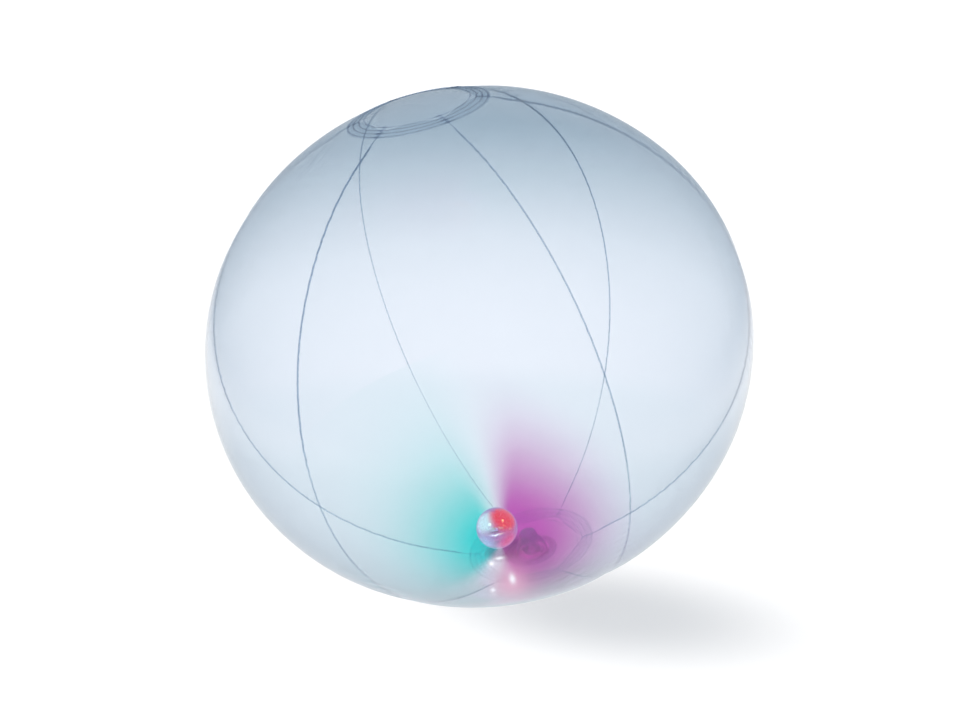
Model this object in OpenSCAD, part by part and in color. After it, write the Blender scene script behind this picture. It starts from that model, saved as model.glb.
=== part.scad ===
// Inflatable beach ball: six welded film gores, two welded end caps, a pinch valve with
// a tethered plug, and a loose battery light unit sealed inside the ball.
// Frame: +Z runs up the line through the two end caps. The valve is at the bottom, pushed in,
// and the origin is the centre of the outer face of the valve flange, which the ball stands on.

/* [Ball] */
// Width across the equator of the inflated ball
ball_width = 300; // [292:1:310]
// Height from pole to pole of the film
ball_height = 281; // [272:1:285]
// Thickness of the film
film_t = 0.25; // [0.2:0.05:0.4]
// Turn of the first seam about Z
gore_phase = 51; // [0:1:60]

/* [Seams and caps] */
// How far the welded edges of two gores stand into the ball
fin_h = 1.2; // [0.6:0.1:2]
// Distance from the axis at which the welded edges end, before a cap
fin_start = 42; // [40:1:60]
// Distance from the axis to the straight ends of the gores
end_flat = 27; // [24:0.5:29]
// Radius of the round end caps
cap_r = 38; // [37.6:0.1:39]
// Height of a weld ring above its cap
weld_h = 0.2; // [0.1:0.05:0.3]

/* [Valve] */
// Outer radius of the flange, which the ball stands on
flange_r = 15; // [14:0.5:16]
// Thickness of the flange
flange_t = 1; // [0.8:0.1:1.2]
// Outer radius of the stem
stem_r = 4.5; // [4.4:0.1:4.6]
// Radius of the stem's bore
bore_r = 3; // [2.8:0.1:3.1]
// Height of the stem's inner end over the flange's outer face
stem_top = 14; // [13:0.5:15]

/* [Light unit] */
// Outer radius of the capsule
unit_r = 12.5; // [12.4:0.1:12.6]
// Distance of the capsule's centre from the ball's axis
unit_offset = 20.5; // [20:0.5:24]
// Direction of the capsule about Z
unit_azimuth = 147; // [0:1:360]
// Gap between the capsule and the film
unit_gap = 0.45; // [0.3:0.05:1]

/* [Hidden] */
$fn = 120;

// Side profile: one arc at the equator, tangent to an arc over each pole
half_w = ball_width / 2;
half_h = ball_height / 2;
side_r = half_h * half_h / half_w;
side_c = half_w - side_r;
crown_r = (side_c * side_c + half_h * half_h - side_r * side_r) / (2 * (half_h - side_r));
crown_drop = crown_r - half_h;
join_angle = atan2(crown_drop, side_c);
reach = 2 * ball_width;

gore_angle = 60;
// The welded edges stand a hair inside the plane of their seam
fin_angle = 0.01;
weld_radii = [28, 31, 34, 37];
weld_bead_r = 0.5;

// The bottom cap is flat where the flange is welded to it
flat_r = flange_r + 1;
hole_r = 10.5;
centre_z = flange_t + crown_z(flat_r, film_t);

// Valve
throat_r = 9;
diaphragm_t = 0.6;
diaphragm_end = stem_top - 1.2;
slip = 0.05;
mouth_z = 1.6;
mouth_rim_r = stem_r + 0.9;
plug_head_r = 4.7;
plug_shank_len = 5;
strap_t = 0.8;
strap_w = 2.6;
strap_reach = 6.4;
strap_loop_r = 1.7;
flap_t = 0.3;
flap_r = 4.2;
trim_azimuth = unit_azimuth + 180;

// Light unit: heights count from the capsule's centre
unit_z = centre_z + crown_drop - sqrt(pow(crown_r - unit_r - unit_gap, 2) - pow(unit_offset, 2));
shell_t = 1;
cavity_r = unit_r - shell_t;
lip_t = 0.9;
lip_h = 1;
carrier_r = cavity_r - 0.3;
carrier_t = 0.8;
board_z = lip_h + carrier_t + 0.6;
board_t = 0.8;
board_top = board_z + board_t;
board_r = 8;
led_r = 1.5;
led_flange_r = 1.9;
led_body_h = 3.1;
led_pitch_r = 5.3;
led_angles = [324, 216, 95];
lead_gap = 1.27;
lead_w = 0.45;
lead_hole_r = 0.4;
switch_angle = 275;
switch_pitch_r = 5.6;
spring_r = 1.2;
spring_wire_r = 0.12;
spring_turns = 8;
spring_h = 3.8;
post_r = 0.35;
cell_r = 3.95;
cell_t = 3.6;
cell_z = lip_h - cell_r - 0.3;
can_t = 3;
cell_cap_r = 3.2;
stack_half = 1.5 * cell_t;
contact_t = 0.3;
trough_r = cell_r + 0.1;
trough_wall = 0.7;
trough_half = stack_half + contact_t + 0.7;
tail_w = 1.6;
tail_x = stack_half + contact_t / 2;

// Height of the crown arc over the ball's centre at a distance from the axis
function crown_z(r, lift) = sqrt(pow(crown_r + lift, 2) - r * r) - crown_drop;

module ring_2d(inner, outer) {
    difference() {
        circle(r = outer);
        circle(r = inner);
    }
}

// A strip along the ball's side profile, between two offsets from the film's outer face
module profile_band(inner, outer) {
    intersection() {
        translate([side_c, 0]) ring_2d(side_r + inner, side_r + outer);
        polygon([
            [side_c, 0],
            [side_c + reach * cos(join_angle), -reach * sin(join_angle)],
            [side_c + reach * cos(join_angle), reach * sin(join_angle)]
        ]);
    }
    for (pole = [0, 1])
        mirror([0, pole])
            intersection() {
                translate([0, -crown_drop]) ring_2d(crown_r + inner, crown_r + outer);
                polygon([
                    [0, -crown_drop],
                    [reach * cos(join_angle), reach * sin(join_angle) - crown_drop],
                    [0, reach]
                ]);
            }
}

// A strip over one pole, on the outside of the gores
module crown_band(start, end) {
    intersection() {
        translate([0, -crown_drop]) ring_2d(crown_r, crown_r + film_t);
        translate([start, 0]) square([end - start, ball_width]);
    }
}

module weld_rings_2d() {
    intersection() {
        for (r = weld_radii)
            translate([r, crown_z(r, film_t + weld_h - weld_bead_r)])
                circle(r = weld_bead_r, $fn = 48);
        translate([0, -crown_drop]) ring_2d(crown_r + film_t / 2, crown_r + film_t + weld_h * 2);
    }
}

// The welded edge of a gore, as a plate in the plane of the seam
module fin() {
    rotate([90, 0, 0])
        linear_extrude(film_t)
            intersection() {
                profile_band(-film_t - fin_h, -film_t / 2);
                translate([fin_start, -half_h]) square([half_w, ball_height]);
            }
}

module gore(i) {
    color([0.80, 0.86, 0.92, 0.35])
        translate([0, 0, centre_z])
            rotate([0, 0, gore_phase + gore_angle * (i - 1)])
                difference() {
                    union() {
                        rotate_extrude(angle = gore_angle, $fn = 240)
                            profile_band(-film_t, 0, $fn = 240);
                        rotate([0, 0, fin_angle]) translate([0, film_t, 0]) fin($fn = 240);
                        rotate([0, 0, gore_angle - fin_angle]) fin($fn = 240);
                    }
                    rotate([0, 0, gore_angle / 2])
                        translate([end_flat - reach, -half_w, -half_w])
                            cube([reach, ball_width, ball_width]);
                }
}

module top_cap() {
    color([0.74, 0.81, 0.88, 0.45])
        translate([0, 0, centre_z])
            rotate_extrude($fn = 180) {
                crown_band(0, cap_r);
                weld_rings_2d();
            }
}

module bottom_cap() {
    color([0.74, 0.81, 0.88, 0.45])
        rotate_extrude($fn = 180) {
            translate([0, centre_z])
                mirror([0, 1]) {
                    crown_band(flat_r, cap_r);
                    weld_rings_2d();
                }
            translate([hole_r, flange_t]) square([flat_r - hole_r + film_t / 2, film_t]);
        }
}

module valve_flange() {
    edge = flange_t * 0.3;
    color([0.82, 0.88, 0.93, 0.6])
        rotate_extrude()
            polygon([
                [throat_r, 0], [flange_r - edge, 0], [flange_r, edge],
                [flange_r, flange_t], [throat_r, flange_t]
            ]);
}

module valve_diaphragm() {
    tip = stem_r + slip;
    color([0.82, 0.88, 0.93, 0.5])
        rotate_extrude()
            polygon([
                [throat_r, flange_t], [throat_r + diaphragm_t, flange_t],
                [tip + diaphragm_t, diaphragm_end + diaphragm_t], [tip, diaphragm_end + diaphragm_t],
                [tip, diaphragm_end]
            ]);
}

module valve_stem() {
    rim_t = 1;
    color([0.84, 0.90, 0.95, 0.6])
        difference() {
            union() {
                translate([0, 0, mouth_z]) cylinder(r = stem_r, h = stem_top - mouth_z);
                translate([0, 0, mouth_z]) cylinder(r = mouth_rim_r, h = rim_t);
            }
            translate([0, 0, mouth_z - 1]) cylinder(r = bore_r, h = stem_top);
        }
}

module valve_flap() {
    color([0.84, 0.90, 0.95, 0.6])
        rotate([0, 0, trim_azimuth])
            translate([0, 0, stem_top + slip])
                difference() {
                    cylinder(r = flap_r, h = flap_t);
                    translate([flap_r - 0.5, -flap_r, -flap_t]) cube([flap_r, 2 * flap_r, 3 * flap_t]);
                }
}

module valve_plug() {
    head_z = 0.15;
    head_t = mouth_z - slip - head_z;
    tab_w = 3;
    tab_len = 2.4;
    tab_root = 1.6;
    color([0.84, 0.90, 0.95, 0.7])
        rotate([0, 0, trim_azimuth]) {
            translate([0, 0, head_z]) cylinder(r = plug_head_r, h = head_t);
            translate([0, 0, head_z]) cylinder(r = bore_r - slip, h = head_t + plug_shank_len);
            translate([-plug_head_r - tab_len, -tab_w / 2, head_z])
                cube([tab_len + tab_root, tab_w, head_t * 0.7]);
        }
}

// A ribbon that leaves the stem, turns back on itself and ends at the plug's head
module valve_strap() {
    low_z = 0.4;
    high_z = low_z + 2 * strap_loop_r - strap_t;
    plug_end = plug_head_r + slip;
    stem_end = mouth_rim_r + slip;
    color([0.84, 0.90, 0.95, 0.7])
        rotate([0, 0, trim_azimuth])
            rotate([90, 0, 0])
                linear_extrude(strap_w, center = true) {
                    translate([plug_end, low_z]) square([strap_reach - plug_end, strap_t]);
                    translate([stem_end, high_z]) square([strap_reach - stem_end, strap_t]);
                    intersection() {
                        translate([strap_reach, low_z + strap_loop_r])
                            ring_2d(strap_loop_r - strap_t, strap_loop_r, $fn = 48);
                        translate([strap_reach, low_z]) square([strap_reach, 2 * strap_loop_r]);
                    }
                }
}

// Puts a piece of the light unit in its place in the ball
module in_unit() {
    rotate([0, 0, unit_azimuth])
        translate([unit_offset, 0, unit_z])
            rotate([0, 0, -unit_azimuth])
                children();
}

module capsule_bottom() {
    color([0.90, 0.93, 0.96, 0.3])
        in_unit()
            difference() {
                union() {
                    intersection() {
                        sphere(r = unit_r);
                        translate([-unit_r, -unit_r, -2 * unit_r]) cube(2 * unit_r);
                    }
                    cylinder(r = cavity_r, h = lip_h);
                }
                difference() {
                    sphere(r = cavity_r);
                    translate([0, 0, -lip_h])
                        rotate_extrude()
                            translate([cavity_r - lip_t, 0]) square([shell_t, 2 * lip_h]);
                }
                translate([0, 0, -lip_h]) cylinder(r = cavity_r - lip_t, h = 3 * lip_h);
            }
}

module capsule_top() {
    color([0.90, 0.93, 0.96, 0.3])
        in_unit()
            difference() {
                intersection() {
                    sphere(r = unit_r);
                    translate([-unit_r, -unit_r, 0]) cube(2 * unit_r);
                }
                sphere(r = cavity_r);
                translate([0, 0, -lip_h]) cylinder(r = cavity_r + slip, h = 2 * lip_h + slip);
            }
}

// Holds the cells below and the circuit board above
module carrier() {
    window_w = 5;
    window_len = 2.8;
    window_y = 7.6;
    pillar_r = 0.6;
    pillar_pitch_r = board_r - 1.2;
    tail_gap = 0.2;
    color([0.93, 0.94, 0.95])
        in_unit()
            difference() {
                union() {
                    translate([0, 0, lip_h]) cylinder(r = carrier_r, h = carrier_t);
                    for (a = [45, 165, 235])
                        rotate([0, 0, a])
                            translate([pillar_pitch_r, 0, lip_h])
                                cylinder(r = pillar_r, h = board_z - lip_h, $fn = 32);
                    translate([-trough_half, 0, cell_z])
                        rotate([90, 0, 90])
                            linear_extrude(2 * trough_half) {
                                circle(r = trough_r + trough_wall);
                                translate([-trough_r - trough_wall, 0])
                                    square([2 * (trough_r + trough_wall), lip_h - cell_z]);
                            }
                }
                translate([-stack_half - contact_t, 0, cell_z])
                    rotate([90, 0, 90])
                        linear_extrude(2 * (stack_half + contact_t)) {
                            circle(r = trough_r);
                            translate([-trough_r, 0]) square([2 * trough_r, lip_h - cell_z]);
                        }
                for (side = [-1, 1]) {
                    translate([side * tail_x - contact_t, -tail_w / 2 - tail_gap, 0])
                        cube([2 * contact_t, tail_w + 2 * tail_gap, board_z]);
                    translate([-window_w / 2, side * window_y - window_len / 2, 0])
                        cube([window_w, window_len, board_z]);
                }
            }
}

// The places of the two leads of one light
module at_leads() {
    for (a = led_angles)
        rotate([0, 0, a])
            translate([led_pitch_r, 0, 0])
                for (side = [-1, 1])
                    translate([0, side * lead_gap / 2, 0]) children();
}

module circuit_board() {
    color([0.10, 0.36, 0.18])
        in_unit()
            difference() {
                translate([0, 0, board_z]) cylinder(r = board_r, h = board_t);
                at_leads() translate([0, 0, board_z - 1]) cylinder(r = lead_hole_r, h = 3, $fn = 24);
                for (side = [-1, 1])
                    translate([side * tail_x - contact_t / 2 - slip, -tail_w / 2 - slip, board_z - 1])
                        cube([contact_t + 2 * slip, tail_w + 2 * slip, 3]);
            }
}

module led(i, tint) {
    flange_h = 0.8;
    color(tint)
        in_unit()
            rotate([0, 0, led_angles[i]])
                translate([led_pitch_r, 0, board_top]) {
                    cylinder(r = led_flange_r, h = flange_h, $fn = 48);
                    cylinder(r = led_r, h = led_body_h, $fn = 48);
                    translate([0, 0, led_body_h]) sphere(r = led_r, $fn = 48);
                }
}

module led_leads() {
    stub = 0.5;
    color([0.80, 0.80, 0.80])
        in_unit()
            at_leads()
                translate([-lead_w / 2, -lead_w / 2, board_z - stub])
                    cube([lead_w, lead_w, board_t + stub]);
}

module chip_blob() {
    blob_r = 2.6;
    dome_r = 3.4;
    color([0.06, 0.06, 0.07])
        in_unit()
            translate([0, 0, board_top])
                intersection() {
                    translate([0, 0, -sqrt(dome_r * dome_r - blob_r * blob_r)])
                        sphere(r = dome_r, $fn = 72);
                    translate([-blob_r, -blob_r, 0]) cube(2 * blob_r);
                }
}

module resistors() {
    size = [0.9, 1.8, 0.5];
    pitch_r = 4.3;
    color([0.12, 0.12, 0.13])
        in_unit()
            for (a = [26, 57, 145])
                rotate([0, 0, a])
                    translate([pitch_r, 0, board_top + size[2] / 2]) cube(size, center = true);
}

module at_switch() {
    in_unit()
        rotate([0, 0, switch_angle])
            translate([switch_pitch_r, 0, board_top]) children();
}

module switch_post() {
    color([0.85, 0.80, 0.60])
        at_switch() {
            cylinder(r = post_r, h = spring_h, $fn = 24);
            cylinder(r = post_r * 2, h = 0.3, $fn = 24);
        }
}

// A round wire wound as a helix, swept along its own centre line
function coil_point(k, j, steps, sides) =
    let (turn = 360 * spring_turns * k / steps,
         lift = spring_wire_r + (spring_h - 2 * spring_wire_r) * k / steps,
         around = 360 * j / sides,
         r = spring_r + spring_wire_r * cos(around))
    [r * cos(turn), r * sin(turn), lift + spring_wire_r * sin(around)];

module switch_spring() {
    sides = 6;
    steps = 16 * spring_turns;
    base_h = 0.35;
    color([0.75, 0.76, 0.78])
        at_switch()
            translate([0, 0, base_h])
                polyhedron(
                    points = [for (k = [0:steps], j = [0:sides - 1]) coil_point(k, j, steps, sides)],
                    faces = concat(
                        [[for (j = [0:sides - 1]) j]],
                        [[for (j = [sides - 1:-1:0]) steps * sides + j]],
                        [for (k = [0:steps - 1], j = [0:sides - 1])
                            [k * sides + j, (k + 1) * sides + j,
                             (k + 1) * sides + (j + 1) % sides, k * sides + (j + 1) % sides]]
                    )
                );
}

// A button cell on its side: a wide can, and a narrower cap on the other pole
module cell(i) {
    round_r = 0.3;
    color([0.78, 0.79, 0.81])
        in_unit()
            translate([(i - 2) * cell_t - cell_t / 2, 0, cell_z])
                rotate([0, 90, 0])
                    rotate_extrude()
                        polygon([
                            [0, 0], [cell_r - round_r, 0], [cell_r, round_r], [cell_r, can_t],
                            [cell_cap_r, can_t], [cell_cap_r, cell_t], [0, cell_t]
                        ]);
}

module cell_gaskets() {
    gasket_t = 0.3;
    color([0.15, 0.30, 0.20])
        in_unit()
            for (i = [1:3])
                translate([(i - 2) * cell_t - cell_t / 2 + can_t, 0, cell_z])
                    rotate([0, 90, 0])
                        rotate_extrude()
                            translate([cell_cap_r, 0]) square([cell_r - cell_cap_r - 0.2, gasket_t]);
}

// A strip contact: a plate at one end of the cells, with a tail up through the board
module contact(side) {
    plate_w = 5;
    plate_gap = 0.2;
    tail_stub = 0.4;
    plate_x = side > 0 ? stack_half : -stack_half - contact_t;
    color([0.82, 0.78, 0.62])
        in_unit() {
            translate([plate_x, -plate_w / 2, cell_z - plate_w / 2])
                cube([contact_t, plate_w, plate_w / 2 + lip_h - cell_z - plate_gap]);
            translate([plate_x, -tail_w / 2, cell_z])
                cube([contact_t, tail_w, board_top + tail_stub - cell_z]);
        }
}

module solder_joints() {
    joint_r = 0.7;
    joint_h = 0.4;
    color([0.80, 0.81, 0.82])
        in_unit() {
            difference() {
                at_leads()
                    translate([0, 0, board_z - joint_h])
                        cylinder(r1 = lead_w * 0.9, r2 = joint_r * 0.8, h = joint_h, $fn = 24);
                at_leads()
                    translate([-lead_w / 2, -lead_w / 2, 0]) cube([lead_w, lead_w, board_top]);
            }
            for (side = [-1, 1])
                difference() {
                    translate([side * tail_x, 0, board_top])
                        cylinder(r1 = joint_r * 1.5, r2 = joint_r, h = joint_h, $fn = 24);
                    translate([side * tail_x - contact_t / 2, -tail_w / 2, 0])
                        cube([contact_t, tail_w, board_top + 1]);
                }
        }
}

gore(1);  // gore_1
gore(2);  // gore_2
gore(3);  // gore_3
gore(4);  // gore_4
gore(5);  // gore_5
gore(6);  // gore_6
top_cap();
bottom_cap();
valve_flange();
valve_diaphragm();
valve_stem();
valve_flap();
valve_plug();
valve_strap();
capsule_bottom();
capsule_top();
carrier();
circuit_board();
led(0, [0.90, 0.10, 0.10]);  // led_red
led(1, [0.10, 0.80, 0.55]);  // led_green
led(2, [0.20, 0.30, 0.90]);  // led_blue
led_leads();
chip_blob();
resistors();
switch_post();
switch_spring();
cell(1);  // cell_1
cell(2);  // cell_2
cell(3);  // cell_3
cell_gaskets();
contact(1);  // contact_positive
contact(-1);  // contact_negative
solder_joints();
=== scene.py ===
"""Visible surfaces, finishes, light and camera of an inflatable ball with a light unit inside.

Every length is in metres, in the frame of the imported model: +Z runs up through the two end
caps, and the origin is the centre of the outer face of the valve flange.
"""

import logging
import math
from dataclasses import dataclass, field
from enum import Enum
from typing import Optional, Sequence, Union

import bpy
import numpy as np
from mathutils import Matrix, Vector

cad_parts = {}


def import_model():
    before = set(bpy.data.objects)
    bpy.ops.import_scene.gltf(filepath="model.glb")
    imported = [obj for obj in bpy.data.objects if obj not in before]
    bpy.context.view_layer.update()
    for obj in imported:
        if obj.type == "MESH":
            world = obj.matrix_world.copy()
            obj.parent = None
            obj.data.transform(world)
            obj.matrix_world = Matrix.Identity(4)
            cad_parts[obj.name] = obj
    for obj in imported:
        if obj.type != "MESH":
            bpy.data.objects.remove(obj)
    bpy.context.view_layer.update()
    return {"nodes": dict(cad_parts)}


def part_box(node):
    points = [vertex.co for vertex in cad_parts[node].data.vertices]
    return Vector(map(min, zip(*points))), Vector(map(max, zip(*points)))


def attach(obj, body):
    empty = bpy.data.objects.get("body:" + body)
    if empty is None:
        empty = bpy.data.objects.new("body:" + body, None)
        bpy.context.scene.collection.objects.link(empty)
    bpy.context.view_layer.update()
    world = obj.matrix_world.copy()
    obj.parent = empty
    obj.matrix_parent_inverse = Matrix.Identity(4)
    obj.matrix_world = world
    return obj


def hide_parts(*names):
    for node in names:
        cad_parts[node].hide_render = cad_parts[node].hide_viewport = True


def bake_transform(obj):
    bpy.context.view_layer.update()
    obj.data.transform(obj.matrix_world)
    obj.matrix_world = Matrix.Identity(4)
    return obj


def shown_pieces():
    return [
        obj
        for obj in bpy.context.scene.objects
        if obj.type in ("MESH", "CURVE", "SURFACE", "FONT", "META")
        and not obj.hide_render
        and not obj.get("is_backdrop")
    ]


LOG = logging.getLogger("beach_ball")
MM = 0.001
TAU = 2.0 * math.pi

Colour = tuple[float, float, float]
Number = Union[int, float]


class Body(Enum):
    """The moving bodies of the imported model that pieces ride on."""

    BALL = "ball"
    STEM = "stem"
    PLUG = "plug"
    FLAP = "flap"
    LIGHT_UNIT = "light_unit"
    SHAKE_SPRING = "shake_spring"


# ---------------------------------------------------------------------------- shader tools


class Signal:
    """A shader socket that can be used in arithmetic."""

    def __init__(self, paint: "Paint", socket: bpy.types.NodeSocket) -> None:
        """Wraps one output socket of a material's nodes."""
        self.paint = paint
        self.socket = socket

    def _maths(self, operation: str, *values: Union["Signal", Number]) -> "Signal":
        """Adds one Math node and returns its output."""
        return self.paint.node("ShaderNodeMath", {"operation": operation}, *values)

    def __add__(self, other: Union["Signal", Number]) -> "Signal":
        """Sum."""
        return self._maths("ADD", self, other)

    def __sub__(self, other: Union["Signal", Number]) -> "Signal":
        """Difference."""
        return self._maths("SUBTRACT", self, other)

    def __rsub__(self, other: Union["Signal", Number]) -> "Signal":
        """Difference, with the number first."""
        return self._maths("SUBTRACT", other, self)

    def __mul__(self, other: Union["Signal", Number]) -> "Signal":
        """Product."""
        return self._maths("MULTIPLY", self, other)

    __rmul__ = __mul__

    def __truediv__(self, other: Union["Signal", Number]) -> "Signal":
        """Quotient."""
        return self._maths("DIVIDE", self, other)

    def __pow__(self, other: Union["Signal", Number]) -> "Signal":
        """Power."""
        return self._maths("POWER", self, other)

    def clamp(self) -> "Signal":
        """The value held between 0 and 1."""
        return self.paint.node("ShaderNodeClamp", {}, self)

    def step(self, low: float, high: float) -> "Signal":
        """A smooth rise from 0 at low to 1 at high."""
        return self.paint.node(
            "ShaderNodeMapRange", {"interpolation_type": "SMOOTHSTEP"}, self, low, high
        )


class Paint:
    """A material being built from nodes."""

    def __init__(self, name: str) -> None:
        """Starts an empty material."""
        self.material = bpy.data.materials.new(name)
        self.material.use_nodes = True
        self.tree = self.material.node_tree
        self.tree.nodes.clear()

    def node(
        self,
        kind: str,
        settings: dict[str, object],
        *values: object,
        out: Union[int, str] = 0,
        **named: object,
    ) -> Signal:
        """Adds a node.

        Args:
            kind: The node's type.
            settings: Properties of the node, which are set before its sockets.
            values: Values or signals of its first sockets, in order; None leaves one as it is.
            out: The output to return, by place or by name.
            named: Values or signals of sockets by name, with _ for a space.

        Returns:
            The chosen output.
        """
        made = self.tree.nodes.new(kind)
        for key, value in settings.items():
            setattr(made, key, value)
        pairs = list(zip(made.inputs, values))
        pairs += [(made.inputs[key.replace("_", " ")], value) for key, value in named.items()]
        for socket, value in pairs:
            if isinstance(value, Signal):
                self.tree.links.new(value.socket, socket)
            elif value is not None:
                socket.default_value = (
                    (*value, 1.0) if socket.type == "RGBA" and len(value) == 3 else value
                )
        return Signal(self, made.outputs[out])

    def place(self) -> Signal:
        """The point in the row frame."""
        return self.node("ShaderNodeTexCoord", {}, out="Object")

    def axis(self, letter: str) -> Signal:
        """One coordinate of the point."""
        return self.node("ShaderNodeSeparateXYZ", {}, self.place(), out=letter)

    def distance(self, centre: Sequence[float]) -> Signal:
        """How far the point is from a centre."""
        settings = {"operation": "DISTANCE"}
        return self.node("ShaderNodeVectorMath", settings, self.place(), centre, out="Value")

    def facing(self) -> Signal:
        """How far the surface is turned from a straight look: 0 face on, 1 at a glance."""
        return self.node("ShaderNodeLayerWeight", {}, 0.5, out="Facing")

    def attribute(self, name: str) -> Signal:
        """A value that the mesh holds at its points."""
        return self.node("ShaderNodeAttribute", {"attribute_name": name}, out="Fac")

    def noise(
        self, scale: float, detail: float = 3.0, stretch: Sequence[float] = (1, 1, 1)
    ) -> Signal:
        """Noise from 0 to 1, with scale in cells for each metre."""
        mapped = self.node("ShaderNodeMapping", {}, self.place(), Scale=tuple(stretch))
        return self.node(
            "ShaderNodeTexNoise", {}, Vector=mapped, Scale=scale, Detail=detail, out="Fac"
        )

    def blend(self, share: Union[Signal, float], low: object, high: object) -> Signal:
        """A colour between two."""
        made = self.node("ShaderNodeMix", {"data_type": "RGBA"}, share, out=2)
        inputs = made.socket.node.inputs
        for socket, value in ((inputs[6], low), (inputs[7], high)):
            if isinstance(value, Signal):
                self.tree.links.new(value.socket, socket)
            else:
                socket.default_value = (*value, 1.0)
        return made

    def bump(self, height: Signal, distance: float, strength: float = 1.0) -> Signal:
        """A surface normal that follows a height from 0 to 1 over a distance in metres."""
        return self.node(
            "ShaderNodeBump", {}, Strength=strength, Distance=distance, Height=height
        )

    def mix(self, share: Union[Signal, float], low: Signal, high: Signal) -> Signal:
        """Two shaders mixed by a share."""
        return self.node("ShaderNodeMixShader", {}, share, low, high)

    def clear(self, tint: Colour) -> Signal:
        """What is behind, tinted."""
        return self.node("ShaderNodeBsdfTransparent", {}, tint)

    def gloss(self, roughness: float) -> Signal:
        """A mirror gloss."""
        return self.node("ShaderNodeBsdfGlossy", {}, (1.0, 1.0, 1.0), roughness)

    def principled(self, **named: object) -> Signal:
        """A Principled shader."""
        return self.node("ShaderNodeBsdfPrincipled", {}, **named)

    def edge_gloss(self, straight: float) -> Signal:
        """The share of light that a clear surface mirrors: little straight on, all at a glance."""
        return (self.facing() ** 5) * (1.0 - straight) + straight

    def done(self, shader: Signal) -> bpy.types.Material:
        """Ends the material with this shader."""
        output = self.tree.nodes.new("ShaderNodeOutputMaterial")
        self.tree.links.new(shader.socket, output.inputs["Surface"])
        return self.material


# ------------------------------------------------------------------------------- finishes


@dataclass(frozen=True)
class ClearFinish:
    """A clear plastic: it mirrors at its face, and passes the rest with a tint and some haze.

    Its tint deepens where it is seen at a slant, as a longer way through it does. Where the point
    attribute "weld" is set, the weld's deeper tint takes over. Painted shade takes over by height
    along a fixed leaning axis, which is the studio camera's up tipped back by 8 degrees: at the
    crown, painted shade for the darker room mirrored overhead, as the square of the share of the
    way up and more at a slant; at the foot, below a soft line, painted shade for the shaded floor
    seen through the film, under which the welds are fainter. The painted shade and the gloss are
    less where the attribute "lap" says that other film lies against this one.
    """

    name: str
    tint: Colour
    straight: float = 0.02
    haze: float = 0.02
    haze_noise: float = 0.02
    haze_colour: Colour = (0.80, 0.86, 0.92)
    roughness: float = 0.03
    weld_tint: Optional[Colour] = None
    weld_share: float = 0.8
    weld_haze: float = 0.03
    slant_tint: Optional[Colour] = None
    # Painted shade: the crown's and the foot's tints, laid by height along a fixed axis over set
    # spans.
    crown_painted_shade: Optional[Colour] = None
    foot_painted_shade: Colour = (0.915, 0.945, 0.965)
    painted_shade_axis: tuple[float, float, float] = (0.2495, 0.2880, 0.9246)
    crown_shade_span: tuple[float, float] = (0.138, 0.2803)
    foot_shade_span: tuple[float, float] = (0.102, 0.081)
    low_fade: float = 0.7
    lap_loss: float = 0.85
    crown_straight: float = 0.55
    crown_slant: float = 1.8

    def build(self) -> bpy.types.Material:
        """The material's nodes."""
        paint = Paint(self.name)
        noise = paint.noise(45.0, 4.0)
        share = noise * self.haze_noise + self.haze
        body = paint.clear(self.tint)
        facing = paint.facing()
        alone: Union[Signal, float] = 1.0
        strength: Union[Signal, float] = 1.0
        # Painted shade by height along a fixed axis: darker at the crown and at the foot.
        if self.crown_painted_shade:
            height = paint.node(
                "ShaderNodeVectorMath", {"operation": "DOT_PRODUCT"}, paint.place(),
                self.painted_shade_axis, out="Value",
            )
            crown = paint.node("ShaderNodeMapRange", {}, height, *self.crown_shade_span)
            alone = 1.0 - paint.attribute("lap") * self.lap_loss
            # Painted shade at the crown, for the darker room mirrored overhead; deeper at a slant.
            upward = crown * crown * alone * (facing * self.crown_slant + self.crown_straight)
            body = paint.mix(upward.clamp(), body, paint.clear(self.crown_painted_shade))
            # Painted shade at the foot, for the shaded floor seen through the film; the welds fade
            # there.
            low = height.step(*self.foot_shade_span)
            body = paint.mix(low * alone, body, paint.clear(self.foot_painted_shade))
            strength = strength * (1.0 - low * self.low_fade)
        if self.slant_tint:
            body = paint.mix(facing * alone, body, paint.clear(self.slant_tint))
        if self.weld_tint:
            worn = paint.attribute("weld") * strength
            body = paint.mix(worn * self.weld_share, body, paint.clear(self.weld_tint))
            share = share + worn * self.weld_haze
        veil = paint.principled(
            Base_Color=self.haze_colour, Roughness=noise * 0.2 + 0.35, IOR=1.5
        )
        body = paint.mix(share.clamp(), body, veil)
        gloss = paint.edge_gloss(self.straight) * alone
        return paint.done(paint.mix(gloss, body, paint.gloss(self.roughness)))


@dataclass(frozen=True)
class SolidFinish:
    """An opaque moulded or coated surface with fine grain and slight variation of its colour."""

    name: str
    colour: Colour
    shade: Colour
    roughness: float = 0.4
    metallic: float = 0.0
    grain: float = 900.0
    relief: float = 0.00002
    stretch: tuple[float, float, float] = (1.0, 1.0, 1.0)
    coat: float = 0.0

    def build(self) -> bpy.types.Material:
        """The material's nodes."""
        paint = Paint(self.name)
        cloud = paint.noise(self.grain * 0.25, 3.0)
        grain = paint.noise(self.grain, 4.0, self.stretch)
        return paint.done(
            paint.principled(
                Base_Color=paint.blend(cloud.step(0.35, 0.7), self.colour, self.shade),
                Roughness=(grain * 0.25 + (self.roughness - 0.12)).clamp(),
                Metallic=self.metallic,
                Coat_Weight=self.coat,
                Normal=paint.bump(grain, self.relief, 0.4),
            )
        )


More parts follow.
